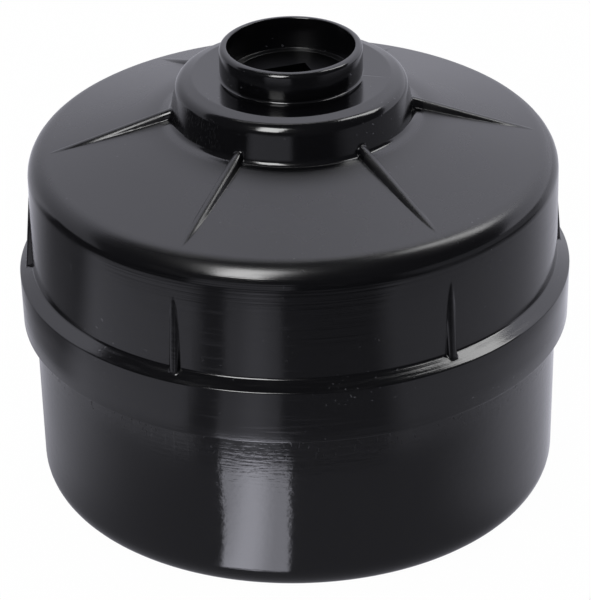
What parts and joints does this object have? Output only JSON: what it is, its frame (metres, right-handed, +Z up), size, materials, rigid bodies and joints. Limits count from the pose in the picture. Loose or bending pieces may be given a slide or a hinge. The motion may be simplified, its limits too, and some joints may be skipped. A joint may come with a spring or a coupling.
{
  "type": "oil filter wrench",
  "caption": "Bell-shaped cap wrench for spin-on oil filters: square-drive neck, fluted steel grip cup inside, and a lapped catch skirt that holds the spilt oil.",
  "frame": {"origin": "centre of the ring that the tool stands on, at the floor", "axes": "+Z up along the drive axis, from the mouth to the neck; +X along one pair of ribs"},
  "size_m": [0.12, 0.12, 0.1023],
  "materials": {
    "bell_black": "glossy moulded black plastic with faint draw lines",
    "skirt_black": "glossy moulded black plastic with light rubbing marks",
    "seal_rubber": "matt black nitrile rubber",
    "pad_rubber": "matt black sheet rubber",
    "cup_steel": "zinc-plated pressed steel",
    "hub_steel": "black-oxide steel",
    "fastener_steel": "zinc-plated steel"
  },
  "bodies": {
    "skirt_body": {"catch_skirt": "skirt_black", "lap_gasket": "seal_rubber", "mouth_wiper": "seal_rubber"},
    "bell_body": {"bell_housing": "bell_black", "grip_cup": "cup_steel", "drive_hub": "hub_steel", "hub_seal": "seal_rubber", "filter_pad": "pad_rubber", "hub_rivets": "fastener_steel", "crown_screws": "fastener_steel", "screw_washers": "fastener_steel"}
  },
  "joints": [
    {"name": "bell_lift", "type": "slide", "parent": "skirt_body", "child": "bell_body", "axis": [0, 0, 1], "range_m": [0, 0.03]}
  ]
}
